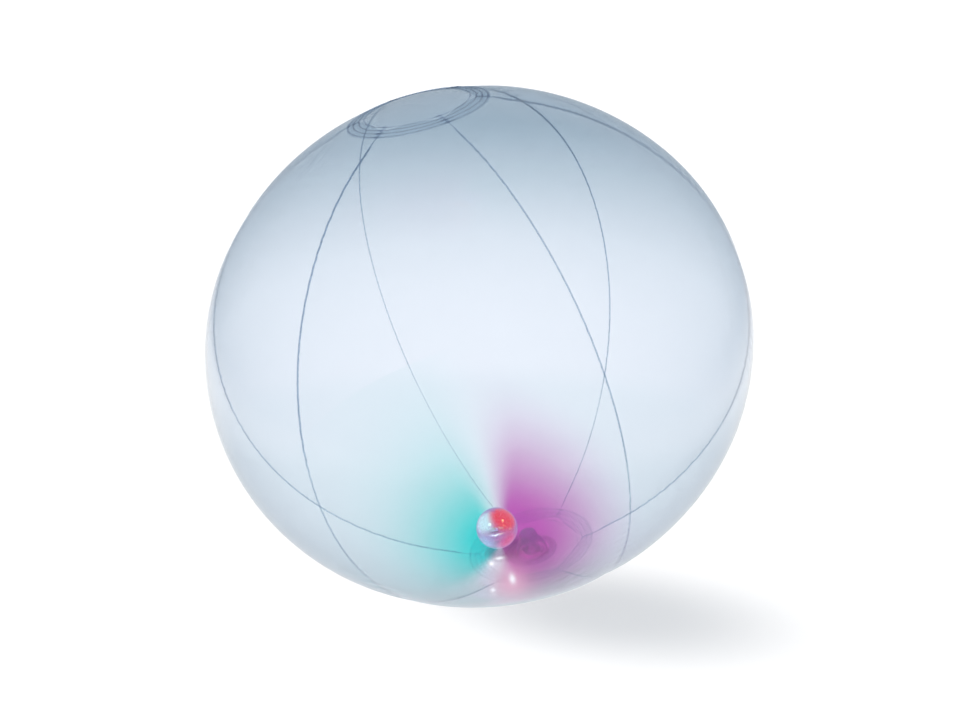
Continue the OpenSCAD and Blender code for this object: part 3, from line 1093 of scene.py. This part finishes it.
    def ribbon(
        self, ends: np.ndarray, half_width: float, half_height: float, level: float, ridges: int
    ) -> tuple[np.ndarray, np.ndarray]:
        """A short flat tongue with a rounded section and grip ridges across its top.

        Args:
            ends: Its two ends, along and across the strap's direction.
            half_width: Half its width.
            half_height: Half its thickness.
            level: The height of its middle.
            ridges: How many ridges cross it.

        Returns:
            Its points and faces.
        """
        t = np.linspace(0.0, 1.0, 41)
        angle = np.linspace(0.0, TAU, 32, endpoint=False)
        taper = np.sqrt(np.clip(1.0 - np.clip(t * 1.02 - 0.62, 0, 1) ** 2 / 0.17, 0.0, 1.0))
        wave = 1.0 - 0.12 * (0.5 - 0.5 * np.cos(t * ridges * TAU)) * smooth_rise(t, 0.2, 0.4)
        side = signed_power(np.cos(angle), 0.5)
        rise = signed_power(np.sin(angle), 0.7)
        along = (ends[0] + (ends[1] - ends[0]) * t[:, None])[:, None, :]
        y = side[None, :] * half_width * np.maximum(taper, 0.05)[:, None]
        x = np.broadcast_to(along[..., 0], y.shape)
        z = level + rise[None, :] * half_height * wave[:, None]
        return capped_tube(self.turned_to_trim(x, y, z))

    def strap(self, vinyl: bpy.types.Material) -> None:
        """The plug's strap: a ribbon whose middle line runs out, round a half circle and back."""
        low, high, reach = self.strap_low, self.strap_high, self.strap_reach
        radius = (high - low) / 2
        bend = np.linspace(-math.pi / 2, math.pi / 2, 25)
        rho = np.concatenate([
            np.linspace(self.plug + self.clearance, reach, 8)[:-1], reach + radius * np.cos(bend),
            np.linspace(reach, self.stem + 0.9 * MM + self.clearance, 6)[1:],
        ])
        z = np.concatenate([
            np.full(7, low), low + radius + radius * np.sin(bend), np.full(5, high)
        ])
        along = np.stack([np.gradient(rho), np.gradient(z)], axis=-1)
        along /= np.linalg.norm(along, axis=1, keepdims=True)
        angle = np.linspace(0.0, TAU, 28, endpoint=False)
        side = signed_power(np.cos(angle), 0.45)
        out = signed_power(np.sin(angle), 0.6)
        thick = self.strap_height / 2 * out[None, :]
        x = rho[:, None] + along[:, 1:2] * thick
        height = z[:, None] - along[:, 0:1] * thick
        y = np.broadcast_to(side[None, :] * self.strap_width / 2, x.shape)
        tube = capped_tube(self.turned_to_trim(x, y, height))
        made = make_piece("plug_strap", *tube, vinyl)
        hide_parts("valve_strap")
        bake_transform(made)

    def build(self) -> None:
        """Makes the whole valve in clear vinyl."""
        vinyl = VINYL.build()
        for make in (
            self.flange_ring, self.diaphragm_cone, self.stem_tube, self.check_flap, self.stopper,
            self.strap,
        ):
            make(vinyl)


@dataclass
class LightUnit:
    """The clear round capsule that rolls inside the ball, with its lights, switch and cells."""

    centre: tuple[float, float, float]
    outer: float = 12.5 * MM
    wall: float = 1.0 * MM
    lip: float = 1.0 * MM
    lip_inner: float = 10.6 * MM
    seat: float = 0.05 * MM
    board_top: float = 3.2 * MM
    light_pitch: float = 5.3 * MM
    light: float = 1.5 * MM
    light_rim: float = 1.9 * MM
    light_height: float = 3.1 * MM
    switch_pitch: float = 5.6 * MM
    switch_azimuth: float = math.radians(275.0)
    coil: float = 1.2 * MM
    coil_wire: float = 0.12 * MM
    coil_turns: int = 8
    coil_height: float = 3.8 * MM
    coil_foot: float = 0.35 * MM
    blob: float = 2.6 * MM
    blob_dome: float = 3.4 * MM
    shine_energy: float = 0.006
    shine_radius: float = 1.2 * MM
    shine_pitch: float = 0.55
    shine_height: float = 7.0 * MM
    red_azimuth: float = math.radians(324.0)
    green_azimuth: float = math.radians(216.0)
    blue_azimuth: float = math.radians(95.0)

    def at(self, azimuth: float, pitch: float, height: float = 0.0) -> tuple[float, float, float]:
        """A point of the unit in the row frame."""
        x, y, z = self.centre
        return x + pitch * math.cos(azimuth), y + pitch * math.sin(azimuth), z + height

    def arc(self, radius: float, start: float, end: float) -> np.ndarray:
        """Points of a quarter turn or so in the outline's plane, by their heights."""
        angle = np.linspace(math.asin(start / radius), math.asin(end / radius), 49)
        points = np.stack([radius * np.cos(angle), radius * np.sin(angle)], axis=-1)
        points[np.abs(points) < 1e-9] = 0.0
        return points

    def capsule(self, clear: bpy.types.Material) -> None:
        """The two halves of the capsule: round shells, the lower with a lip inside the upper."""
        outer, inner, lip = self.outer, self.outer - self.wall, self.lip
        corner = 0.18 * MM
        bottom = np.concatenate([
            self.arc(outer, -outer, -corner), [[outer - corner, 0.0]],
            [[inner, 0.0], [inner, lip - corner], [inner - corner, lip]],
            [[self.lip_inner + corner, lip], [self.lip_inner, lip - corner]],
            [[self.lip_inner, -lip]],
            self.arc(inner, -lip * 4.6, -inner),
        ])
        seat = inner + self.seat
        top = np.concatenate([
            [[seat, 0.0], [outer - corner, 0.0]], self.arc(outer, corner, outer),
            self.arc(inner, inner, lip + self.seat * 2), [[seat, lip + self.seat]],
        ])
        for name, outline in (("capsule_bottom", bottom), ("capsule_top", top)):
            made = make_piece(f"clear_{name}", *turned(outline, self.centre, 144), clear)
            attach(made, Body.LIGHT_UNIT.value)
            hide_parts(name)

    def lens(self, name: str, azimuth: float, glow: Colour, hot: Colour, strength: float) -> None:
        """One light: a domed cylinder with a rim at its foot, and a small lamp that it shines by.

        The lamp is staged: it stands further in and higher than the light's own die.
        """
        top = self.light_height
        outline = rounded_profile([
            (0.0, 0.0, 0.0), (self.light_rim, 0.0, 0.1 * MM),
            (self.light_rim, 0.8 * MM, 0.15 * MM), (self.light, 0.8 * MM, 0.12 * MM),
        ])
        angle = np.linspace(0.0, math.pi / 2, 25)
        dome = np.stack([self.light * np.cos(angle), top + self.light * np.sin(angle)], axis=-1)
        dome[-1, 0] = 0.0
        outline = np.concatenate([outline, dome])
        foot = self.at(azimuth, self.light_pitch, self.board_top)
        die = self.at(azimuth, self.light_pitch, self.board_top + 0.75 * top)
        finish = LampFinish(name, glow, hot, die, strength).build()
        made = make_piece(f"lens_{name}", *turned(outline, foot, 64), finish)
        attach(made, Body.LIGHT_UNIT.value)
        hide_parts(name)
        data = bpy.data.lights.new(f"shine_{name}", "POINT")
        data.color, data.energy, data.shadow_soft_size = hot, self.shine_energy, self.shine_radius
        shine = link_new(f"shine_{name}", data)
        pitch = self.light_pitch * self.shine_pitch
        shine.location = self.at(azimuth, pitch, self.board_top + self.shine_height)
        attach(shine, Body.LIGHT_UNIT.value)

    def resin_blob(self) -> None:
        """The chip under its drop of resin: a dome with a slightly uneven, drooping rim."""
        angle = np.linspace(0.0, TAU, 72, endpoint=False)[None, :]
        t = np.linspace(0.0, 1.0, 20)[:, None]
        rim = self.blob * (0.955 + 0.025 * np.sin(3 * angle + 0.6) + 0.015 * np.sin(7 * angle))
        drop = self.blob_dome - math.sqrt(self.blob_dome**2 - self.blob**2)
        rho = rim * np.sin(t * math.pi / 2)
        z = self.board_top + drop * np.cos(t * math.pi / 2) ** 0.8 * 0.98 + 0 * angle
        top = around_axis(rho, angle, z)
        base = top * (1, 1, 0) + (0, 0, self.board_top)
        points, quads = shell_from_grids(top + self.centre, base + self.centre, around=True)
        points, quads = close_poles(points, quads, angle.size)
        made = make_piece("resin_blob", points, quads, RESIN.build())
        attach(made, Body.LIGHT_UNIT.value)
        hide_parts("chip_blob")

    def shake_spring(self) -> None:
        """The switch's spring: a round wire carried along a helix, closed up at both ends."""
        turns, sides = self.coil_turns, 10
        t = np.linspace(0.0, 1.0, 28 * turns + 1)
        turn = t * turns * TAU
        rise = self.coil_height - 2 * self.coil_wire
        lift = self.coil_wire + rise * t
        angle = np.linspace(0.0, TAU, sides, endpoint=False)[None, :]
        radius = self.coil + self.coil_wire * np.cos(angle)
        x = radius * np.cos(turn)[:, None]
        y = radius * np.sin(turn)[:, None]
        z = lift[:, None] + self.coil_wire * np.sin(angle)
        start = self.at(self.switch_azimuth, self.switch_pitch, self.board_top + self.coil_foot)
        points = np.stack([x, y, z], axis=-1)
        c, s = math.cos(self.switch_azimuth), math.sin(self.switch_azimuth)
        points = points @ np.array([[c, s, 0], [-s, c, 0], [0, 0, 1]]) + start
        made = make_piece("shake_spring_coil", *capped_tube(points), STEEL.build())
        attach(made, Body.SHAKE_SPRING.value)
        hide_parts("switch_spring")

    def build(self) -> None:
        """Makes the capsule, the lights, the resin and the spring.

        Two of the capsule's painted glows stand low in it, where no light is, for scattered light.
        """
        red, green, blue = (
            self.at(azimuth, self.light_pitch, self.board_top + self.light_height)
            for azimuth in (self.red_azimuth, self.green_azimuth, self.blue_azimuth)
        )
        # Centres of painted glow, with no light at them.
        below_red = self.at(math.radians(300.0), 9.0 * MM, -5.0 * MM)
        below_green = self.at(math.radians(225.0), 9.5 * MM, -2.0 * MM)
        lights = (
            (below_green, (0.45, 0.55, 0.85), 2.0 * MM, 7.5 * MM),
            (below_red, (0.80, 0.08, 0.26), 3.0 * MM, 10.0 * MM),
            (green, (0.66, 0.93, 1.0), 4.6 * MM, 8.6 * MM),
            (red, (0.95, 0.015, 0.06), 6.0 * MM, 10.5 * MM),
            (blue, (0.10, 0.03, 0.34), 4.6 * MM, 8.8 * MM),
        )
        # The capsule's glow is painted light, not lit by the lamps inside.
        self.capsule(CapsulePaintedGlowFinish("capsule_painted_glow", lights).build())
        self.lens("led_red", self.red_azimuth, (0.22, 0.006, 0.012), (1.0, 0.78, 0.34), 14.0)
        self.lens("led_green", self.green_azimuth, (0.012, 0.20, 0.17), (0.70, 1.0, 0.95), 9.0)
        self.lens("led_blue", self.blue_azimuth, (0.02, 0.015, 0.20), (0.35, 0.30, 1.0), 5.0)
        self.resin_blob()
        self.shake_spring()


@dataclass
class LightPools:
    """The light that the unit casts on the film around it: a thin tinted patch that moves with it.

    It isn't part of the object: a staged patch of clear colour just inside the film stands for
    the light, and nothing lights it.
    """

    unit: tuple[float, float, float]
    profile: BallProfile
    inset: float = 1.6 * MM
    rim: float = 138.0 * MM
    squeeze: float = 0.76
    glints: tuple[tuple[float, float, float, float], ...] = (
        (-8.0, -20.0, 1.8, 3.0), (-3.0, -15.0, 2.6, 1.6), (2.0, -43.0, 1.7, 7.0),
        (-10.0, -56.0, 1.3, 4.0),
    )

    def shares(self, points: np.ndarray) -> dict[str, np.ndarray]:
        """How strong each colour is at each point, from its place east and north of the unit.

        Teal fills the half to the west, as a bell of the distance with a flat top, and magenta
        the half to the east. Distances north and south are squeezed. The unit's mirror image in
        the film, to the south, is a blush with a few glints, each a bell both ways.
        """
        east = points[..., 0] - self.unit[0]
        north = points[..., 1] - self.unit[1]
        distance = np.hypot(east, north * self.squeeze)
        side = np.arctan2(north, east)
        west = smooth_rise(np.cos(side - math.radians(168.0)), 0.10, 0.52)
        right = smooth_rise(np.cos(side + math.radians(4.0)), -0.12, 0.28)
        glint = np.zeros_like(east)
        for x, y, width, length in self.glints:
            spot = bell(east - x * MM, width * MM) * bell(north - y * MM, length * MM)
            glint = np.maximum(glint, spot)
        return {
            "teal": np.minimum(1.12 * bell(distance, 50 * MM), 1.0) * west,
            "magenta": (1.0 - smooth_rise(distance, 20 * MM, 92 * MM)) * right,
            "blush": bell(east - 1 * MM, 11 * MM) * bell(north + 50 * MM, 27 * MM),
            "glint": glint,
        }

    def build(self) -> None:
        """Lays the patch along the film, in rings about the ball's axis up to its rim."""
        angle = np.linspace(0.0, TAU, 300, endpoint=False)[None, :]
        rho = np.linspace(0.0, self.rim, 170)[:, None]
        slope = -self.profile.slope_at(rho) + 0 * angle
        points = self.profile.place(angle + 0 * rho, slope, -self.inset)
        quads = grid_quads(*points.shape[:2], around=True)
        numbers = np.arange(points.shape[0] * points.shape[1])
        numbers[: angle.size] = 0
        mesh = bpy.data.meshes.new("light_pools")
        faces = [list(dict.fromkeys(face)) for face in numbers[quads].tolist()]
        mesh.from_pydata(points.reshape(-1, 3).tolist(), [], faces)
        add_attributes(mesh, self.shares(points))
        mesh.update()
        mesh.shade_smooth()
        mesh.materials.append(self.finish())
        made = link_new("light_pools", mesh)
        made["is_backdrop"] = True
        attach(made, Body.LIGHT_UNIT.value)
        made.visible_shadow = False
        made.visible_diffuse = False

    def finish(self) -> bpy.types.Material:
        """The colours, each as strong as its attribute says: the pools tint, the blush glows."""
        paint = Paint("light_pools")
        shader = paint.clear((1.0, 1.0, 1.0))
        looks = {
            "teal": (paint.clear((0.03, 0.82, 0.74)), 1.0),
            "magenta": (paint.clear((0.70, 0.10, 0.52)), 1.0),
            "blush": (paint.node("ShaderNodeEmission", {}, (1.0, 0.42, 0.62)), 0.75),
            "glint": (paint.node("ShaderNodeEmission", {}, (1.3, 1.2, 1.25)), 1.0),
        }
        for key, (look, most) in looks.items():
            shader = paint.mix(paint.attribute(key) * most, shader, look)
        return paint.done(shader)


@dataclass
class Trim:
    """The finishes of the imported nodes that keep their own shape."""

    finishes: dict[str, object] = field(default_factory=lambda: {
        "carrier": CARRIER, "circuit_board": BOARD, "led_leads": TINNED, "resistors": CERAMIC,
        "switch_post": BRASS, "cell_1": CAN, "cell_2": CAN, "cell_3": CAN,
        "cell_gaskets": GASKET, "contact_positive": BRASS, "contact_negative": BRASS,
        "solder_joints": TINNED,
    })

    def build(self, nodes: dict[str, bpy.types.Object]) -> None:
        """Paints each node, making each finish once."""
        made: dict[str, bpy.types.Material] = {}
        for name, finish in self.finishes.items():
            if finish.name not in made:
                made[finish.name] = finish.build()
            nodes[name].data.materials.clear()
            nodes[name].data.materials.append(made[finish.name])


@dataclass
class Studio:
    """A white floor, a tilted sky that darkens overhead, a soft lamp, its flag and the camera."""

    centre_z: float
    radius: float = 150.0 * MM
    lens: float = 50.2
    forward: tuple[float, float, float] = (-0.0017, 0.9023, -0.4311)
    upward: tuple[float, float, float] = (0.2517, 0.4176, 0.8730)
    away: tuple[float, float, float] = (-0.0048, 0.0559, 4.956)
    pitch: float = math.radians(28.0)
    floor_half: float = 9.0
    flag_centre: tuple[float, float, float] = (0.032, -0.076, 0.010)
    flag_size: tuple[float, float] = (155.0 * MM, 56.0 * MM)
    flag_turn: float = math.radians(-35.0)
    flag_tint: Colour = (0.40, 0.40, 0.40)
    lamp_energy: float = 2.2
    lamp_angle: float = math.radians(30.0)
    lamp_colour: Colour = (1.0, 0.965, 0.92)
    lamp_from: tuple[float, float, float] = (-0.15, 0.10, 1.0)
    sky_stops: tuple[tuple[float, Colour], ...] = (
        (0.0, (0.74, 0.78, 0.83)),
        (0.20, (0.80, 0.84, 0.88)),
        (0.27, (1.06, 1.07, 1.08)),
        (0.30, (1.02, 1.03, 1.05)),
        (0.37, (0.52, 0.59, 0.67)),
        (0.50, (0.40, 0.48, 0.56)),
        (0.65, (0.30, 0.37, 0.45)),
        (1.0, (0.16, 0.21, 0.27)),
    )

    def axes(self) -> tuple[Vector, Vector, Vector]:
        """The camera's right, up and back directions."""
        back = -Vector(self.forward).normalized()
        right = Vector(self.upward).cross(back).normalized()
        return right, back.cross(right), back

    def camera(self) -> None:
        """Stands the camera, rolled by as much as the ball's axis leans."""
        data = bpy.data.cameras.new("camera")
        data.lens, data.sensor_width = self.lens, 36.0
        data.clip_start, data.clip_end = 0.05, 60.0
        right, up, back = self.axes()
        across, rise, depth = self.away
        place = (back * depth - right * across - up * rise) * self.radius
        made = link_new("camera", data)
        made.matrix_world = Matrix.Translation(place + Vector((0, 0, self.centre_z))) @ Matrix(
            (right, up, back)
        ).transposed().to_4x4()
        bpy.context.scene.camera = made

    def plumb(self) -> Vector:
        """What the sky takes as upright: the camera's up, tipped back by the pitch."""
        _, up, back = self.axes()
        return (up * math.cos(self.pitch) + back * math.sin(self.pitch)).normalized()

    def floor(self) -> None:
        """Lays a plain white floor, which gives a little light of its own to stay white."""
        paint = Paint("floor")
        white = paint.node("ShaderNodeBsdfDiffuse", {}, (0.93, 0.93, 0.93))
        glow = paint.node("ShaderNodeEmission", {}, (1.0, 0.90, 0.80), 0.27)
        material = paint.done(paint.node("ShaderNodeAddShader", {}, white, glow))
        half = self.floor_half
        mesh = bpy.data.meshes.new("floor")
        corners = [(-half, -half, 0), (half, -half, 0), (half, half, 0), (-half, half, 0)]
        mesh.from_pydata(corners, [], [(0, 1, 2, 3)])
        mesh.materials.append(material)
        made = link_new("floor", mesh)
        made.visible_glossy = False
        made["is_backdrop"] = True

    def sky(self) -> None:
        """Paints the sky by height along the room's upright: white low down, blue-grey overhead."""
        world = bpy.data.worlds.new("sky")
        bpy.context.scene.world = world
        world.use_nodes = True
        tree = world.node_tree
        tree.nodes.clear()
        coords = tree.nodes.new("ShaderNodeTexCoord")
        dot = tree.nodes.new("ShaderNodeVectorMath")
        dot.operation = "DOT_PRODUCT"
        dot.inputs[1].default_value = self.plumb()
        spread = tree.nodes.new("ShaderNodeMapRange")
        spread.inputs["From Min"].default_value = -1.0
        ramp = tree.nodes.new("ShaderNodeValToRGB")
        back = tree.nodes.new("ShaderNodeBackground")
        output = tree.nodes.new("ShaderNodeOutputWorld")
        stops = ramp.color_ramp.elements
        while len(stops) < len(self.sky_stops):
            stops.new(0.5)
        for element, (place, colour) in zip(stops, self.sky_stops):
            element.position, element.color = place, (*colour, 1.0)
        tree.links.new(coords.outputs["Generated"], dot.inputs[0])
        tree.links.new(dot.outputs["Value"], spread.inputs["Value"])
        tree.links.new(spread.outputs["Result"], ramp.inputs["Fac"])
        tree.links.new(ramp.outputs["Color"], back.inputs["Color"])
        tree.links.new(back.outputs["Background"], output.inputs["Surface"])

    def lamp(self) -> None:
        """Hangs a wide soft lamp almost straight overhead, which isn't mirrored in the film."""
        data = bpy.data.lights.new("key", "SUN")
        data.energy, data.angle = self.lamp_energy, self.lamp_angle
        data.color = self.lamp_colour
        made = link_new("key", data)
        made.rotation_euler = Vector(self.lamp_from).to_track_quat("Z", "Y").to_euler()
        made.visible_glossy = False

    def flag(self) -> None:
        """Hangs a small grey net low under the ball, which only dims the lamp.

        The film's own thin shadow would spread far over the floor, so the net casts it instead:
        a soft oval patch beside the valve, full at its middle and clear at its rim.
        """
        paint = Paint("flag")
        away = paint.node(
            "ShaderNodeVectorMath", {"operation": "LENGTH"}, paint.place(), out="Value"
        )
        share = away.step(0.15, 1.0)
        material = paint.done(
            paint.mix(share, paint.clear(self.flag_tint), paint.clear((1.0, 1.0, 1.0)))
        )
        angle = np.linspace(0.0, TAU, 64, endpoint=False)
        rim = around_axis(1.0, angle, 0.0)
        mesh = bpy.data.meshes.new("flag")
        mesh.from_pydata(rim.tolist(), [], [list(range(len(angle)))])
        mesh.materials.append(material)
        made = link_new("flag", mesh)
        made.location, made.scale = self.flag_centre, (*self.flag_size, 1.0)
        made.rotation_euler.z = self.flag_turn
        made.visible_camera = made.visible_glossy = made.visible_diffuse = False
        made.visible_transmission = False
        made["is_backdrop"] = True

    def build(self) -> None:
        """Makes the whole studio."""
        self.camera()
        self.floor()
        self.flag()
        self.sky()
        self.lamp()
        scene = bpy.context.scene
        scene.view_settings.view_transform = "Standard"
        scene.cycles.transparent_max_bounces = 64


def main() -> None:
    """Builds the ball piece by piece and reports each."""
    logging.basicConfig(level=logging.INFO, format="%(name)s: %(message)s")
    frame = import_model()
    profile = BallProfile()
    low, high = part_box("capsule_bottom")
    unit = ((low[0] + high[0]) / 2, (low[1] + high[1]) / 2, high[2] - LightUnit.lip)
    FilmBall(profile).build()
    Valve().build()
    LightUnit(unit).build()
    Trim().build(frame["nodes"])
    LightPools(unit, profile).build()
    Studio(profile.centre_z).build()
    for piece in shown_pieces():
        LOG.info("%s: %d faces", piece.name, len(piece.data.polygons))


if __name__ == "__main__":
    main()
